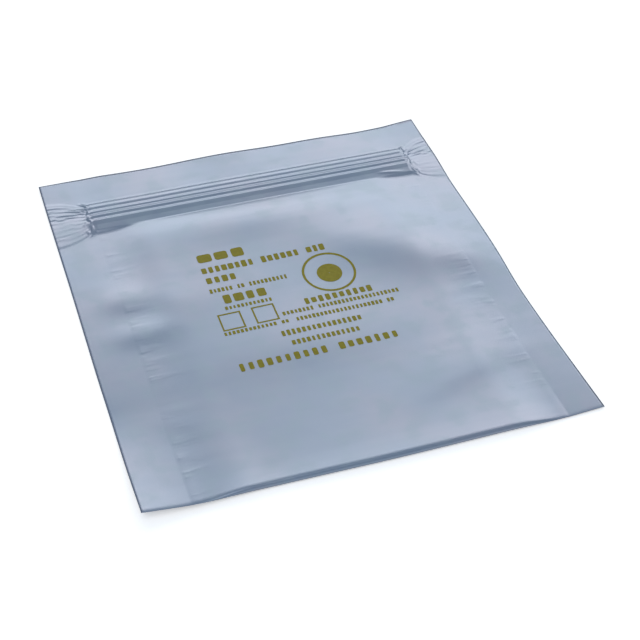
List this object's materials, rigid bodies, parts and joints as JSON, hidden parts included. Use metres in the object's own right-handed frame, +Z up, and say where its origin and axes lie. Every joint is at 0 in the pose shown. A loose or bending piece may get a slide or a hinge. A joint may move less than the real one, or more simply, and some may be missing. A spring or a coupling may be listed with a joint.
{
  "type": "antistatic shielding bag",
  "caption": "Flat empty metallised film bag with welded side seals, a rolled bottom fold and a press-to-close zip below its open mouth.",
  "frame": {"origin": "middle of the bag in plan, on the surface that its back lies on", "axes": "+X across the bag to the right seal, +Y from the bottom fold to the mouth, +Z up out of the front panel"},
  "size_m": [0.124, 0.131, 0.003],
  "materials": {
    "film": "metallised film, satin sheen",
    "zip": "clear polyethylene, satin",
    "ink": "olive printing ink"
  },
  "bodies": {
    "root": {"film_bag": "film", "zip_groove_track": "zip", "zip_rib_track": "zip"}
  },
  "joints": []
}
